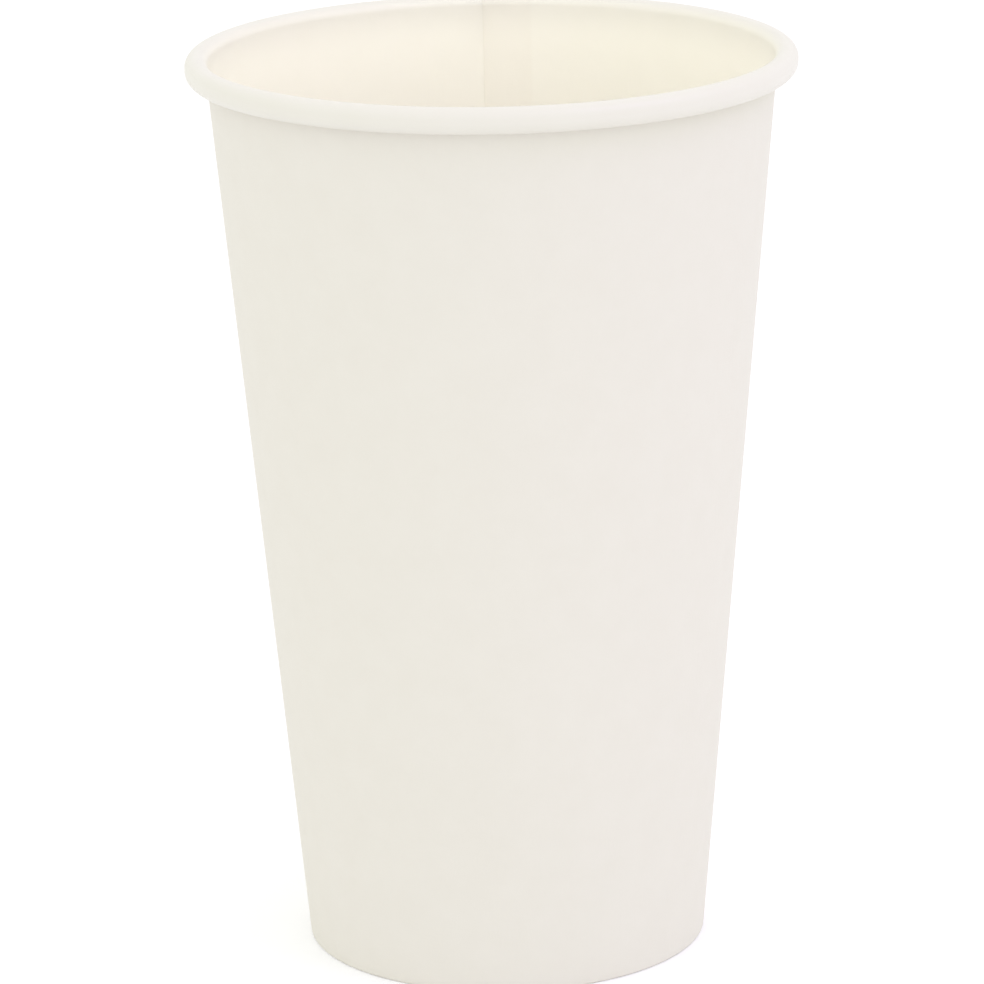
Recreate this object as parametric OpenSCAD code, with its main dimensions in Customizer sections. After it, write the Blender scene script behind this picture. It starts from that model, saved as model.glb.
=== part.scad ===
// Single-wall paper cup for hot drinks. One fan-shaped blank of board is wrapped into a cone and
// lapped on itself. Its top edge is rolled outward into the rim, and its lower edge is folded in
// and up around the skirt of a pressed board disc, which is the cup's floor.

/* [Cup] */
// Height from the table to the crown of the rim
cup_h = 136; // [90:1:180]
// Diameter across the outside of the rolled rim
rim_d = 90; // [80:0.5:98]
// Diameter across the outside of the foot
foot_d = 60; // [50:0.5:70]

/* [Board] */
// Thickness of the side wall's board
wall_t = 0.38; // [0.3:0.01:0.41]
// Thickness of the base disc's board
disc_t = 0.3; // [0.24:0.01:0.4]
// Film that seals one layer of board to the next
seal_t = 0.04; // [0.03:0.01:0.06]

/* [Rolled rim] */
// Width of the roll, from the wall's inner face to the outside of the rim
roll_w = 3.4; // [3.4:0.1:5]
// Height of the upright flank on the outside of the roll
flank_h = 0.45; // [0.1:0.05:1.5]
// Degrees that the rolled edge turns on inside the roll after it points up again
tuck_turn = 35; // [5:5:60]

/* [Side seam] */
// Width of the lap, where one end of the blank lies over the other
lap_w = 7.5; // [4:0.5:12]
// Direction of the inner end of the blank, anticlockwise from +X
seam_dir = 91.5; // [0:0.5:359]
// Height where the outer end of the blank is nipped off, so that the hem isn't double
nip_h = 3; // [2:0.5:6]

/* [Foot] */
// Height of the base disc's underside above the table
recess_h = 9; // [9:0.5:14]
// Height of the turned-up hem inside the foot
hem_h = 7; // [4:0.5:8]
// Inner radius of the hem's fold
fold_r = 0.04; // [0.02:0.01:0.1]
// Inner radius of the bend between the base disc and its skirt
bend_r = 0.8; // [0.4:0.1:1]
// Room between the skirt's lower edge and the inside of the hem's fold
skirt_room = 0.15; // [0.05:0.05:0.5]

/* [Hidden] */
$fn = 96;
board_colour = [0.94, 0.93, 0.89];
disc_colour = [0.95, 0.94, 0.91];
// Largest step along a rolled or folded arc, in degrees
arc_step = 10;

rim_r = rim_d / 2;
foot_r = foot_d / 2;
roll_r = roll_w / 2;
// Room that the skirt takes between the wall and the hem
slot_w = disc_t + 2 * seal_t;

// The roll turns about three centres, all in the section plane [radius, height]: over the crown,
// under the flank, and on a smaller radius inside, clear of the wall and of the lap on it
crown_c = [rim_r - roll_r, cup_h - roll_r];
flank_c = crown_c - [0, flank_h];
tuck_r = roll_r - 2 * (wall_t + seal_t);
tuck_c = flank_c - [0, roll_r - tuck_r];

// Lean of the wall from upright: its outer face runs from the foot to the inside of the roll
lean = atan2(crown_c.x - foot_r, crown_c.y) - asin((roll_r - wall_t) / norm(crown_c - [foot_r, 0]));

// Radius at height z of a face parallel to the wall, d outward of the wall's inner face
function wall_r(z, d) = foot_r + z * tan(lean) + (d - wall_t) / cos(lean);

function arc(centre, r, from, to, first = 0) =
    let (n = ceil(abs(to - from) / arc_step))
    [for (k = [first:n]) let (a = from + (to - from) * k / n) centre + r * [cos(a), sin(a)]];

// Section of one face of the blank from the hem's edge to the edge inside the roll. The face that
// is inside the cup has d = 0, and a face d further out lies on the outside of every bend here
fold_z = wall_t + fold_r;
nip_fade_h = nip_h / 2;
function hem_face(d) = concat(
    [[wall_r(hem_h, -slot_w - d), hem_h]],
    arc([wall_r(fold_z, fold_r - slot_w), fold_z], fold_r + d, 180 - lean, 270),
    arc([wall_r(fold_z, -fold_r), fold_z], fold_r + d, 270, 360 - lean),
    [[wall_r(nip_fade_h, d), nip_fade_h]]);
function roll_face(d) = concat(
    arc(crown_c, roll_r - d, 180 - lean, 90),
    arc(crown_c, roll_r - d, 90, 0, 1),
    arc(flank_c, roll_r - d, 0, -90),
    arc(tuck_c, tuck_r - d, -90, -180 - tuck_turn, 1));
// Rings of points up the wall, close enough that the lap, whose edge isn't radial, keeps to the cone
wall_rows = 8;
function wall_face(d) =
    [for (k = [0:wall_rows - 1]) let (z = nip_h + (crown_c.y - nip_h) * k / wall_rows) [wall_r(z, d), z]];
function blank_face(d) = concat(hem_face(d), wall_face(d), roll_face(d));

function reverse(list) = [for (k = [len(list) - 1:-1:0]) list[k]];

// Side seam. The outer end of the blank leaves the wall in a straight line, lands on top of the
// inner end after seam_ramp degrees, and lies on it for the width of the lap
lap_lift = wall_t + seal_t;
wall_top_r = wall_r(crown_c.y, 0);
seam_ramp = acos(wall_top_r / (wall_top_r + lap_lift));
// Room between the two ends of the blank where they only meet edge to edge
butt_room = 0.03;
butt_turn = seam_ramp - butt_room / foot_r * 180 / PI;
ramp_cols = 5;
lap_cols = 6;
cols = ramp_cols + lap_cols;
rows = len(blank_face(0)) - 1;
nip_row = len(hem_face(0));

function flap_turn(r, col) = col <= ramp_cols
    ? butt_turn * col / ramp_cols
    : butt_turn + lap_w / r * 180 / PI * (col - ramp_cols) / lap_cols;
function flap_lift(row, col) = row < nip_row ? 0 : lap_lift * pow(min(col / ramp_cols, 1), 2);
function flap_point(side, row, col) =
    let (p = blank_face(side * wall_t + flap_lift(row, col))[row],
         a = -flap_turn(blank_face(0)[row].x, col))
    [p.x * cos(a), p.x * sin(a), p.y];
function flap_index(side, row, col) = (side * (rows + 1) + row) * (cols + 1) + col;
// Below the nip the outer end of the blank stops where the inner end starts
function flap_has(row, col) = row >= 0 && row < rows && col >= 0 && col < cols
    && (row >= nip_row || col < ramp_cols);

// Wall between the two faces of the flap, along its edge from one corner to the next
function flap_edge(row_a, col_a, row_b, col_b) = [
    flap_index(0, row_a, col_a), flap_index(0, row_b, col_b),
    flap_index(1, row_b, col_b), flap_index(1, row_a, col_a)];

module seam_flap() {
    points = [for (side = [0, 1]) for (row = [0:rows]) for (col = [0:cols]) flap_point(side, row, col)];
    cells = [for (row = [0:rows - 1]) for (col = [0:cols - 1]) if (flap_has(row, col)) [row, col]];
    inner_face = [for (c = cells) [
        flap_index(0, c[0], c[1]), flap_index(0, c[0] + 1, c[1]),
        flap_index(0, c[0] + 1, c[1] + 1), flap_index(0, c[0], c[1] + 1)]];
    outer_face = [for (c = cells) [
        flap_index(1, c[0], c[1]), flap_index(1, c[0], c[1] + 1),
        flap_index(1, c[0] + 1, c[1] + 1), flap_index(1, c[0] + 1, c[1])]];
    edges = [for (c = cells) each concat(
        flap_has(c[0] - 1, c[1]) ? [] : [flap_edge(c[0], c[1], c[0], c[1] + 1)],
        flap_has(c[0] + 1, c[1]) ? [] : [flap_edge(c[0] + 1, c[1] + 1, c[0] + 1, c[1])],
        flap_has(c[0], c[1] - 1) ? [] : [flap_edge(c[0] + 1, c[1], c[0], c[1])],
        flap_has(c[0], c[1] + 1) ? [] : [flap_edge(c[0], c[1] + 1, c[0] + 1, c[1] + 1)])];
    polyhedron(points, concat(inner_face, outer_face, edges));
}

// Wrapped blank: the full turn up to the seam, and the end of it that lies over the start
module side_wall() {
    color(board_colour)
        rotate([0, 0, seam_dir + seam_ramp]) {
            rotate_extrude(angle = 360 - seam_ramp)
                polygon(concat(blank_face(0), reverse(blank_face(wall_t))));
            seam_flap();
        }
}

// Pressed disc: its skirt stands in the slot between the wall and the hem
module base_disc() {
    skirt_z = wall_t + skirt_room;
    bend_c = [wall_r(recess_h - bend_r, -seal_t - disc_t - bend_r), recess_h - bend_r];
    color(disc_colour)
        rotate_extrude()
            polygon(concat(
                [[0, recess_h + disc_t]],
                arc(bend_c, bend_r + disc_t, 90, -lean),
                [[wall_r(skirt_z, -seal_t), skirt_z], [wall_r(skirt_z, -seal_t - disc_t), skirt_z]],
                arc(bend_c, bend_r, -lean, 90),
                [[0, recess_h]]));
}

side_wall();
base_disc();
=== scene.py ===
import math

import bpy
from mathutils import Matrix, Vector


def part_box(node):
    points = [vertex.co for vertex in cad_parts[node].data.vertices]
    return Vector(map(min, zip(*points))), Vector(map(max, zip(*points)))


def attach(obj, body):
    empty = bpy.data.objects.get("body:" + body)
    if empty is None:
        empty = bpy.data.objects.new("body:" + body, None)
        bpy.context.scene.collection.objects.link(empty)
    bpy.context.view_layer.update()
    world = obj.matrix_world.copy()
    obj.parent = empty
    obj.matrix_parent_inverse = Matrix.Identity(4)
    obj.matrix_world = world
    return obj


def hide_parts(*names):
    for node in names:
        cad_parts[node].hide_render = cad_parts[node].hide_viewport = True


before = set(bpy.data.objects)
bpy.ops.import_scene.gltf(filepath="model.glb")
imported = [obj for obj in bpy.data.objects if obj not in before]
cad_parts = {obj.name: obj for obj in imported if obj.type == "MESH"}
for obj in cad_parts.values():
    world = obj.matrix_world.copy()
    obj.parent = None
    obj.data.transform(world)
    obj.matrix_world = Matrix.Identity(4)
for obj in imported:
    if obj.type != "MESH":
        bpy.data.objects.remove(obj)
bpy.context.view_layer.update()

# Camera
# The cup was photographed with a long lens from a little above its rim. The camera was tipped by a
# degree, so that the right side of the rim stands higher in the picture.
photo_px = 984
focal_px = 5427.8
sensor_mm = 36
camera_distance = 0.8136
camera_pitch = math.radians(15.611)
camera_tip = math.radians(1.094)
camera_aim = Vector((-0.00111, 0.00011, 0.06841))
bpy.ops.object.select_all(action="DESELECT")
bpy.ops.object.camera_add()
camera = bpy.context.object
camera.name = "camera"
camera.data.sensor_width = sensor_mm
camera.data.lens = sensor_mm * focal_px / photo_px
sight = Vector((0, math.cos(camera_pitch), -math.sin(camera_pitch)))
camera.location = camera_aim - sight * camera_distance
level_turn = Matrix.Rotation(math.pi / 2 - camera_pitch, 3, "X")
camera.rotation_euler = (level_turn @ Matrix.Rotation(-camera_tip, 3, "Z")).to_euler()
bpy.context.scene.camera = camera
bpy.context.scene.view_settings.view_transform = "Standard"

# Studio
# A light tent over a white sweep: even light from all sides, a weak violet soft box on the upper
# right, and a small lamp on the cup's axis whose cone just fills the mouth and lights the inside.
# The camera sees the sweep as plain white, apart from the shadow close to the cup's foot.
floor_size = 6
floor_white = (0.9, 0.9, 0.9, 1)
floor_lift = 0.17
floor_lift_colour = (0.88, 0.86, 1, 1)
sky_colour = (0.984, 1.0, 0.958, 1)
sky_light = 1.07
cup_middle = Vector((0, 0, 0.08))
key_lamp_place = Vector((1.0, -0.5, 1.3))
inside_lamp_place = Vector((0, 0, 0.3))


def background_rays(tree):
    """A value of 1 where the camera sees a surface straight, in a gloss or through glass."""
    path = tree.nodes.new("ShaderNodeLightPath")
    either = tree.nodes.new("ShaderNodeMath")
    either.operation = "MAXIMUM"
    tree.links.new(path.outputs["Is Camera Ray"], either.inputs[0])
    tree.links.new(path.outputs["Is Glossy Ray"], either.inputs[1])
    any_ray = tree.nodes.new("ShaderNodeMath")
    any_ray.operation = "MAXIMUM"
    tree.links.new(either.outputs[0], any_ray.inputs[0])
    tree.links.new(path.outputs["Is Transmission Ray"], any_ray.inputs[1])
    return any_ray.outputs[0]


world = bpy.data.worlds.new("studio")
bpy.context.scene.world = world
world.use_nodes = True
sky = world.node_tree
sky.nodes.clear()
sky_out = sky.nodes.new("ShaderNodeOutputWorld")
sky_strength = sky.nodes.new("ShaderNodeMapRange")
sky_strength.inputs["To Min"].default_value = sky_light
sky_strength.inputs["To Max"].default_value = 1
sky_shader = sky.nodes.new("ShaderNodeBackground")
tent_colour = sky.nodes.new("ShaderNodeMix")
tent_colour.data_type = "RGBA"
tent_colour.inputs["A"].default_value = sky_colour
tent_colour.inputs["B"].default_value = (1, 1, 1, 1)
tent_rays = background_rays(sky)
sky.links.new(tent_rays, sky_strength.inputs["Value"])
sky.links.new(tent_rays, tent_colour.inputs["Factor"])
sky.links.new(tent_colour.outputs["Result"], sky_shader.inputs["Color"])
sky.links.new(sky_strength.outputs["Result"], sky_shader.inputs["Strength"])
sky.links.new(sky_shader.outputs["Background"], sky_out.inputs["Surface"])

bpy.ops.object.select_all(action="DESELECT")
bpy.ops.mesh.primitive_plane_add(size=floor_size)
floor = bpy.context.object
floor.name = "floor"
floor_material = bpy.data.materials.new("white_sweep")
floor_material.use_nodes = True
sweep = floor_material.node_tree
sweep_shader = sweep.nodes["Principled BSDF"]
sweep_shader.inputs["Base Color"].default_value = floor_white
sweep_shader.inputs["Roughness"].default_value = 0.9
sweep_shader.inputs["Specular IOR Level"].default_value = 0
sweep_shader.inputs["Emission Color"].default_value = floor_lift_colour
sweep_glow = sweep.nodes.new("ShaderNodeMapRange")
sweep_glow.inputs["To Max"].default_value = floor_lift
sweep.links.new(background_rays(sweep), sweep_glow.inputs["Value"])
sweep.links.new(sweep_glow.outputs["Result"], sweep_shader.inputs["Emission Strength"])
floor.data.materials.append(floor_material)

bpy.ops.object.select_all(action="DESELECT")
bpy.ops.object.light_add(type="AREA", location=key_lamp_place)
key_lamp = bpy.context.object
key_lamp.name = "key_lamp"
key_lamp.data.size = 0.9
key_lamp.data.energy = 3.2
key_lamp.data.color = (0.524, 0.34, 1.0)
key_lamp.rotation_euler = (cup_middle - key_lamp_place).to_track_quat("-Z", "Y").to_euler()

bpy.ops.object.select_all(action="DESELECT")
bpy.ops.object.light_add(type="SPOT", location=inside_lamp_place)
inside_lamp = bpy.context.object
inside_lamp.name = "inside_lamp"
inside_lamp.data.energy = 0.83
inside_lamp.data.color = (0.99, 1.0, 0.88)
inside_lamp.data.spot_size = math.radians(28.4)
inside_lamp.data.spot_blend = 0.05
inside_lamp.data.shadow_soft_size = 0.0014
inside_lamp.visible_camera = False

# Board
# Cup board is bleached pulp with short fibres in all directions, a little cloudy where the pulp
# lies thicker. This group gives its colour, roughness and relief to every face of the cup.
fibre_stretches = ((2600, 2600, 500), (700, 700, 2600))
fibre_height = 0.00002
board = bpy.data.node_groups.new("board_surface", "ShaderNodeTree")
for socket, kind, value in (
    ("Pulp Colour", "NodeSocketColor", (0.8, 0.8, 0.8, 1)),
    ("Thick Colour", "NodeSocketColor", (0.7, 0.7, 0.7, 1)),
    ("Cloud Size", "NodeSocketFloat", 0.004),
    ("Fibre Relief", "NodeSocketFloat", 0.5),
    ("Smoothest", "NodeSocketFloat", 0.5),
    ("Roughest", "NodeSocketFloat", 0.7),
):
    made = board.interface.new_socket(socket, in_out="INPUT", socket_type=kind)
    made.default_value = value
for socket, kind in (
    ("Colour", "NodeSocketColor"),
    ("Roughness", "NodeSocketFloat"),
    ("Height", "NodeSocketFloat"),
):
    board.interface.new_socket(socket, in_out="OUTPUT", socket_type=kind)
board_in = board.nodes.new("NodeGroupInput")
board_out = board.nodes.new("NodeGroupOutput")
board_place = board.nodes.new("ShaderNodeTexCoord")

cloud_scale = board.nodes.new("ShaderNodeMath")
cloud_scale.operation = "DIVIDE"
cloud_scale.inputs[0].default_value = 1
board.links.new(board_in.outputs["Cloud Size"], cloud_scale.inputs[1])
clouds = board.nodes.new("ShaderNodeTexNoise")
clouds.inputs["Detail"].default_value = 3
clouds.inputs["Roughness"].default_value = 0.55
board.links.new(board_place.outputs["Object"], clouds.inputs["Vector"])
board.links.new(cloud_scale.outputs[0], clouds.inputs["Scale"])
cloud_mask = board.nodes.new("ShaderNodeMapRange")
cloud_mask.inputs["From Min"].default_value = 0.3
cloud_mask.inputs["From Max"].default_value = 0.7
board.links.new(clouds.outputs["Fac"], cloud_mask.inputs["Value"])
board_colour = board.nodes.new("ShaderNodeMix")
board_colour.data_type = "RGBA"
board.links.new(cloud_mask.outputs["Result"], board_colour.inputs["Factor"])
board.links.new(board_in.outputs["Pulp Colour"], board_colour.inputs["A"])
board.links.new(board_in.outputs["Thick Colour"], board_colour.inputs["B"])
board.links.new(board_colour.outputs["Result"], board_out.inputs["Colour"])

# Two sets of stretched noise, one lying along the wall and one across it, make the fibres
fibre_masks = []
for stretch in fibre_stretches:
    lay = board.nodes.new("ShaderNodeMapping")
    lay.inputs["Scale"].default_value = stretch
    fibres = board.nodes.new("ShaderNodeTexNoise")
    fibres.inputs["Scale"].default_value = 1
    fibres.inputs["Detail"].default_value = 2
    board.links.new(board_place.outputs["Object"], lay.inputs["Vector"])
    board.links.new(lay.outputs["Vector"], fibres.inputs["Vector"])
    fibre_masks.append(fibres.outputs["Fac"])
felt = board.nodes.new("ShaderNodeMath")
felt.operation = "ADD"
board.links.new(fibre_masks[0], felt.inputs[0])
board.links.new(fibre_masks[1], felt.inputs[1])
relief = board.nodes.new("ShaderNodeMath")
relief.operation = "MULTIPLY"
board.links.new(felt.outputs[0], relief.inputs[0])
board.links.new(board_in.outputs["Fibre Relief"], relief.inputs[1])
board.links.new(relief.outputs[0], board_out.inputs["Height"])
gloss = board.nodes.new("ShaderNodeMapRange")
gloss.inputs["From Min"].default_value = 0.7
gloss.inputs["From Max"].default_value = 1.3
board.links.new(felt.outputs[0], gloss.inputs["Value"])
board.links.new(board_in.outputs["Smoothest"], gloss.inputs["To Min"])
board.links.new(board_in.outputs["Roughest"], gloss.inputs["To Max"])
board.links.new(gloss.outputs["Result"], board_out.inputs["Roughness"])


def board_material(name, pulp, thick, cloud_size, relief_share, smoothest, roughest):
    """A material whose colour, roughness and relief come from the board group."""
    material = bpy.data.materials.new(name)
    material.use_nodes = True
    tree = material.node_tree
    shader = tree.nodes["Principled BSDF"]
    surface = tree.nodes.new("ShaderNodeGroup")
    surface.node_tree = board
    surface.inputs["Pulp Colour"].default_value = (*pulp, 1)
    surface.inputs["Thick Colour"].default_value = (*thick, 1)
    surface.inputs["Cloud Size"].default_value = cloud_size
    surface.inputs["Fibre Relief"].default_value = relief_share
    surface.inputs["Smoothest"].default_value = smoothest
    surface.inputs["Roughest"].default_value = roughest
    bump = tree.nodes.new("ShaderNodeBump")
    bump.inputs["Distance"].default_value = fibre_height
    tree.links.new(surface.outputs["Colour"], shader.inputs["Base Color"])
    tree.links.new(surface.outputs["Roughness"], shader.inputs["Roughness"])
    tree.links.new(surface.outputs["Height"], bump.inputs["Height"])
    tree.links.new(bump.outputs["Normal"], shader.inputs["Normal"])
    return material


outside_board = board_material(
    "outside_board", pulp=(0.833, 0.798, 0.737), thick=(0.822, 0.786, 0.723),
    cloud_size=0.005, relief_share=0.6, smoothest=0.6, roughest=0.75,
)
coated_look = dict(
    pulp=(0.842, 0.81, 0.75), thick=(0.833, 0.8, 0.738),
    cloud_size=0.006, relief_share=0.3, smoothest=0.34, roughest=0.46,
)
coated_board = board_material("coated_board", **coated_look)
cut_board = board_material(
    "cut_board", pulp=(0.83, 0.79, 0.7), thick=(0.78, 0.73, 0.63),
    cloud_size=0.0004, relief_share=1, smoothest=0.8, roughest=0.9,
)

# Side wall
# One fan-shaped blank of board, plain outside and coated with film inside. It is wrapped round a
# cone and sealed along a lap at the back. Its top is rolled outward and under, and its foot is
# folded in and up round the skirt of the base, where a wheel presses it into fine ridges.
wall_low, wall_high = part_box("side_wall")
cup_h = wall_high.z
rim_r = (wall_high.x - wall_low.x) / 2

# Lengths are in metres, and turns and directions in degrees, anticlockwise from +X
foot_r = 0.03
wall_t = 0.00038
disc_t = 0.0003
seal_t = 0.00004
roll_r = 0.0017
flank_h = 0.00045
tuck_turn = 35
lap_w = 0.00744
seam_dir = 91.5
butt_turn = 0.06
nip_h = 0.003
hem_h = 0.007
fold_r = 0.00004
knurl_depth = 0.00006
press_turn = 3
press_share = 0.12
# Painted shade over the lap, for the light that two layers of board let through less
lap_painted_shade = (0.983, 0.975, 0.973, 1)
shade_edge = 0.00005
fade_inside = 0.0004
fade_outside = 0.0002

# Steps of the mesh
hem_rows = 6
wall_rows = 8
flank_rows = 2
fold_steps = 6
quarter_steps = 12
tuck_steps = 14
lap_sweep = 16
lap_columns = 10
ramp_cuts = 6
wall_columns = 240
weld_gap = 0.000001
column_slack = 0.02
crease_angle = math.radians(32)

# The seal of the lap is pressed to a quarter of the seals round the base
lap_lift = wall_t + seal_t / 4
slot_w = disc_t + 2 * seal_t
fold_z = wall_t + fold_r
crown = Vector((rim_r - roll_r, 0, cup_h - roll_r))
flank = crown - Vector((0, 0, flank_h))
tuck_r = roll_r - 2 * lap_lift
tuck = flank - Vector((0, 0, roll_r - tuck_r))
lean = math.atan2(crown.x - foot_r, crown.z) - math.asin(
    (roll_r - wall_t) / math.hypot(crown.x - foot_r, crown.z)
)
lean_deg = math.degrees(lean)
seam_ramp = math.degrees(math.acos((crown.x - roll_r) / (crown.x - roll_r + lap_lift)))
lap_start = seam_dir + butt_turn
wrap_start = seam_dir + seam_ramp


def wall_point(z, outward):
    """A point of a face parallel to the wall, outward from the wall's inner face, in the XZ plane."""
    return Vector((foot_r + z * math.tan(lean) + (outward - wall_t) / math.cos(lean), 0, z))


def begin_line(name, start):
    """A new mesh of a single selected point, open in edit mode."""
    bpy.ops.object.select_all(action="DESELECT")
    bpy.ops.mesh.primitive_plane_add(size=wall_t, location=start)
    bpy.context.object.name = name
    bpy.ops.object.transform_apply(location=True, rotation=False, scale=False)
    bpy.ops.object.mode_set(mode="EDIT")
    bpy.ops.mesh.select_mode(type="VERT")
    bpy.ops.mesh.select_all(action="SELECT")
    bpy.ops.mesh.merge(type="CENTER")
    return bpy.context.object


def draw_to(tip, end, steps):
    """Extrudes the selected tip of the line straight to end, and gives end as the new tip."""
    step = (end - tip) / steps
    for _ in range(steps):
        bpy.ops.mesh.extrude_region_move(TRANSFORM_OT_translate={"value": step})
    return end


def bend_round(tip, centre, degrees, steps):
    """Spins the selected tip of the line round centre, and gives its new place."""
    turn = math.radians(degrees)
    bpy.ops.mesh.spin(steps=steps, angle=-turn, center=centre, axis=(0, 1, 0))
    return centre + Matrix.Rotation(turn, 3, "Y") @ (tip - centre)


def sweep_selected(degrees, steps):
    """Spins the selected line anticlockwise about the cup's axis into a sheet."""
    bpy.ops.mesh.spin(
        steps=steps, angle=-math.radians(degrees), center=(0, 0, 0), axis=(0, 0, 1)
    )


def draw_section(name, lift, direction):
    """The section of the blank's coated face from hem to roll, set outward by lift above the nip."""
    hem_fold = wall_point(fold_z, fold_r - slot_w)
    foot_fold = wall_point(fold_z, -fold_r)
    to_axis = Vector((-math.cos(lean), 0, math.sin(lean)))
    hem_edge = wall_point(hem_h, -slot_w)
    section = begin_line(name, hem_edge)
    tip = draw_to(hem_edge, hem_fold + fold_r * to_axis, hem_rows)
    tip = bend_round(tip, hem_fold, -90 - lean_deg, fold_steps)
    tip = draw_to(tip, foot_fold - Vector((0, 0, fold_r)), 1)
    tip = bend_round(tip, foot_fold, lean_deg - 90, fold_steps)
    tip = draw_to(tip, wall_point(nip_h / 2, 0), 1)
    tip = draw_to(tip, wall_point(nip_h, lift), 1)
    tip = draw_to(tip, crown + (roll_r - lift) * to_axis, wall_rows)
    tip = bend_round(tip, crown, 90 - lean_deg, quarter_steps)
    tip = bend_round(tip, crown, 90, quarter_steps)
    tip = draw_to(tip, tip - Vector((0, 0, flank_h)), flank_rows)
    tip = bend_round(tip, flank, 90, quarter_steps)
    bend_round(tip, tuck, 90 + tuck_turn, tuck_steps)
    bpy.ops.mesh.select_all(action="SELECT")
    bpy.ops.transform.rotate(
        value=-math.radians(direction), orient_axis="Z", center_override=(0, 0, 0)
    )
    return section


def add_section(piece, lift, direction):
    """Joins another section to piece, and opens piece in edit mode."""
    section = draw_section("section", lift, direction)
    bpy.ops.object.mode_set(mode="OBJECT")
    bpy.ops.object.select_all(action="DESELECT")
    section.select_set(True)
    piece.select_set(True)
    bpy.context.view_layer.objects.active = piece
    bpy.ops.object.join()
    bpy.ops.object.mode_set(mode="EDIT")


def azimuth(place):
    """Degrees anticlockwise from +X about the cup's axis, from 0 to 360."""
    return math.degrees(math.atan2(place.y, place.x)) % 360


def in_column(place, direction):
    """Whether place lies on the section that stands in a direction, given in degrees."""
    return abs(azimuth(place) - direction) < column_slack


def select_where(piece, wanted):
    """Selects the vertices of piece, open in edit mode, whose place wanted holds for."""
    bpy.ops.mesh.select_all(action="DESELECT")
    bpy.ops.object.mode_set(mode="OBJECT")
    for vertex in piece.data.vertices:
        vertex.select = wanted(vertex.co)
    bpy.ops.object.mode_set(mode="EDIT")


def select_columns(piece, *directions):
    """Selects the sections of piece that stand in the given directions."""
    select_where(piece, lambda p: any(in_column(p, direction) for direction in directions))


def weld_and_orient():
    """Merges doubles in the open mesh, turns its faces outward, and goes back to object mode."""
    bpy.ops.mesh.select_all(action="SELECT")
    bpy.ops.mesh.remove_doubles(threshold=weld_gap)
    bpy.ops.mesh.normals_make_consistent(inside=False)
    bpy.ops.object.mode_set(mode="OBJECT")


def give_thickness(piece, board_t, coated, group_name=""):
    """Thickens piece outward from its coated face, with the cut edges of the board in between."""
    wrap = piece.modifiers.new("board_thickness", "SOLIDIFY")
    wrap.vertex_group = group_name
    wrap.thickness = board_t
    wrap.offset = -1
    wrap.use_even_offset = True
    wrap.use_quality_normals = True
    wrap.material_offset = 1
    wrap.material_offset_rim = 2
    for material in (coated, outside_board, cut_board):
        piece.data.materials.append(material)
    bpy.ops.object.modifier_apply(modifier=wrap.name)
    bpy.ops.object.shade_smooth_by_angle(angle=crease_angle)


# The lap: the outer end of the blank, nipped off above the hem and cut parallel to the inner end
side_wall = draw_section("side_wall_board", lap_lift, lap_start)
sweep_selected(-lap_sweep, lap_columns)
below_nip = nip_h - seal_t
select_where(side_wall, lambda p: azimuth(p) < seam_dir and p.z < below_nip)
bpy.ops.mesh.delete(type="VERT")
across_lap = Matrix.Rotation(math.radians(seam_dir - 90), 3, "Z") @ Vector((1, 0, 0))
bpy.ops.mesh.select_all(action="SELECT")
bpy.ops.mesh.bisect(plane_co=across_lap * lap_w, plane_no=across_lap, clear_outer=True)
bpy.ops.object.mode_set(mode="OBJECT")

# The straight ramp from the lap down to the cone, and from there almost the whole way round
add_section(side_wall, 0, wrap_start)
select_columns(side_wall, lap_start, wrap_start)
bpy.ops.mesh.bridge_edge_loops(number_cuts=ramp_cuts, interpolation="LINEAR")
select_columns(side_wall, wrap_start)
sweep_selected(360 - seam_ramp - press_turn, wall_columns)

# The inner end, which the seam's press has thinned towards its cut edge
press_lift = wall_t * (1 - press_share)
bpy.ops.object.mode_set(mode="OBJECT")
add_section(side_wall, press_lift, seam_dir)
select_columns(side_wall, seam_dir - press_turn, seam_dir)
bpy.ops.mesh.bridge_edge_loops()

# Knurl: every second column of the hem is pressed in towards the axis
column_turn = (360 - seam_ramp - press_turn) / wall_columns
knurl_low = 4 * fold_z
knurl_high = hem_h - 2 * fold_z


def in_knurl(place):
    """Whether place lies on the hem, in a column that the wheel presses in."""
    column = round((azimuth(place) - wrap_start) % 360 / column_turn)
    on_hem = place.xy.length < wall_point(place.z, -slot_w / 2).x
    return column % 2 == 1 and on_hem and knurl_low < place.z < knurl_high


select_where(side_wall, in_knurl)
knurl_share = 1 - knurl_depth / foot_r
bpy.ops.transform.resize(value=(knurl_share, knurl_share, 1), center_override=(0, 0, 0))

# The coated face is painted a little darker over the lap: painted shade for the light that the two
# layers of board behind it let through less
board_with_lap_shade = board_material("board_with_lap_shade", **coated_look)
inside_tree = board_with_lap_shade.node_tree
inside_place = inside_tree.nodes.new("ShaderNodeTexCoord")
past_seam = inside_tree.nodes.new("ShaderNodeVectorMath")
past_seam.operation = "DOT_PRODUCT"
past_seam.inputs[1].default_value = across_lap
inside_tree.links.new(inside_place.outputs["Object"], past_seam.inputs[0])
band_start = inside_tree.nodes.new("ShaderNodeMapRange")
band_start.inputs["From Min"].default_value = -shade_edge
band_start.inputs["From Max"].default_value = shade_edge
band_end = inside_tree.nodes.new("ShaderNodeMapRange")
band_end.inputs["From Min"].default_value = lap_w + fade_outside
band_end.inputs["From Max"].default_value = lap_w - fade_inside
at_back = inside_tree.nodes.new("ShaderNodeSeparateXYZ")
inside_tree.links.new(inside_place.outputs["Object"], at_back.inputs[0])
back_half = inside_tree.nodes.new("ShaderNodeMath")
back_half.operation = "GREATER_THAN"
back_half.inputs[1].default_value = 0
inside_tree.links.new(at_back.outputs["Y"], back_half.inputs[0])
band = back_half.outputs[0]
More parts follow.
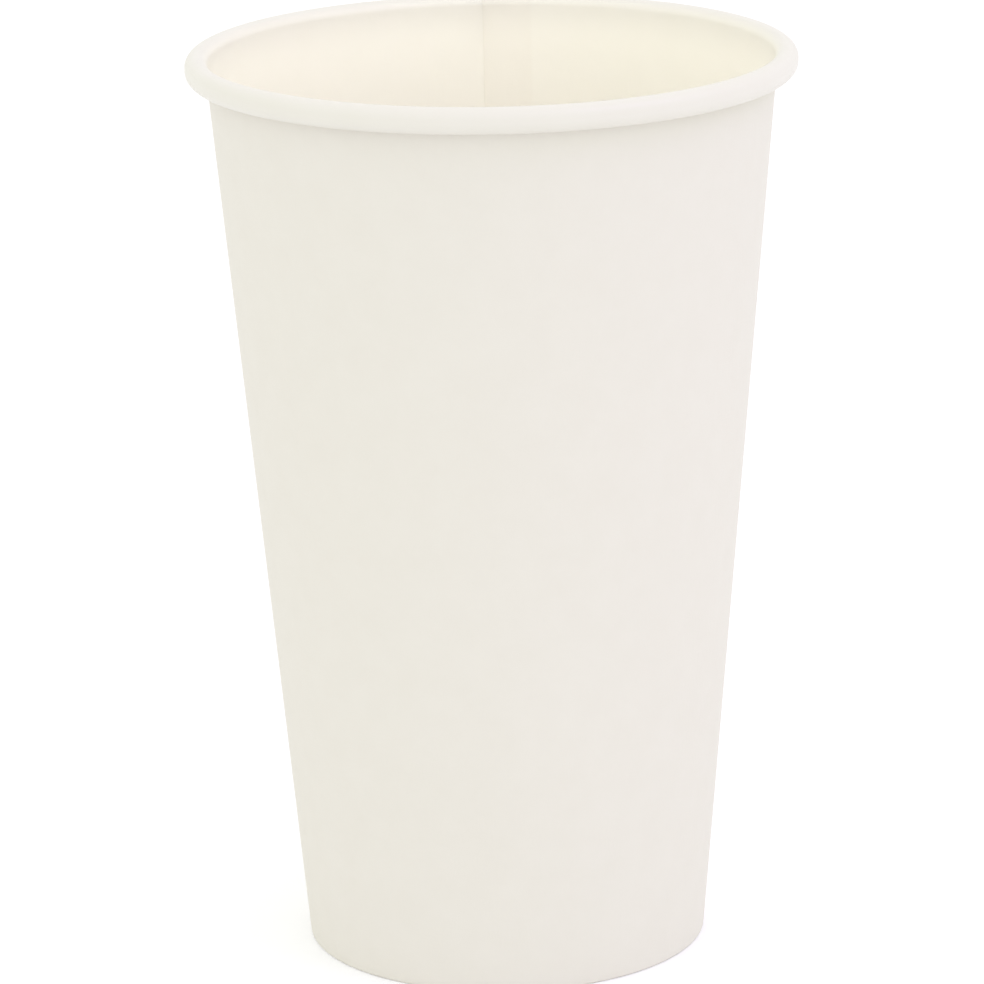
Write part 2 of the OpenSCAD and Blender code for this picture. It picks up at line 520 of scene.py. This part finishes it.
for ramp in (band_start, band_end):
    inside_tree.links.new(past_seam.outputs["Value"], ramp.inputs["Value"])
    both = inside_tree.nodes.new("ShaderNodeMath")
    both.operation = "MULTIPLY"
    inside_tree.links.new(band, both.inputs[0])
    inside_tree.links.new(ramp.outputs["Result"], both.inputs[1])
    band = both.outputs[0]
# Multiplies the coated colour by the painted shade inside the band over the lap
band_painted_shade = inside_tree.nodes.new("ShaderNodeMix")
band_painted_shade.data_type = "RGBA"
band_painted_shade.blend_type = "MULTIPLY"
band_painted_shade.inputs["B"].default_value = lap_painted_shade
base_colour = inside_tree.nodes["Principled BSDF"].inputs["Base Color"]
inside_tree.links.new(band, band_painted_shade.inputs["Factor"])
inside_tree.links.new(base_colour.links[0].from_socket, band_painted_shade.inputs["A"])
inside_tree.links.new(band_painted_shade.outputs["Result"], base_colour)

# The board's thickness, which the pressed end of the seam has only a share of
weld_and_orient()
thickness = side_wall.vertex_groups.new(name="thickness")
for vertex in side_wall.data.vertices:
    pressed = in_column(vertex.co, seam_dir) and vertex.co.z > below_nip
    thickness.add([vertex.index], press_share if pressed else 1, "REPLACE")
give_thickness(side_wall, wall_t, board_with_lap_shade, "thickness")
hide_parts("side_wall")
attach(side_wall, "root")

# Base disc
# A disc of thinner board, pressed so that its edge turns down into a skirt, which is sealed between
# the wall and the hem. Its film is on the face inside the cup.
disc_low, disc_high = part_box("base_disc")
bend_r = 0.0008
disc_rings = 6
bend_steps = 10
skirt_rows = 4
disc_columns = 192
recess_h = disc_high.z - disc_t
bend_centre = wall_point(recess_h - bend_r, -seal_t - disc_t - bend_r)
disc_centre = Vector((0, 0, disc_high.z))
base_disc = begin_line("base_disc_board", disc_centre)
tip = draw_to(disc_centre, Vector((bend_centre.x, 0, disc_high.z)), disc_rings)
tip = bend_round(tip, bend_centre, 90 + lean_deg, bend_steps)
draw_to(tip, wall_point(disc_low.z, -seal_t), skirt_rows)
bpy.ops.mesh.select_all(action="SELECT")
sweep_selected(360, disc_columns)
weld_and_orient()
give_thickness(base_disc, disc_t, coated_board)
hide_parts("base_disc")
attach(base_disc, "root")
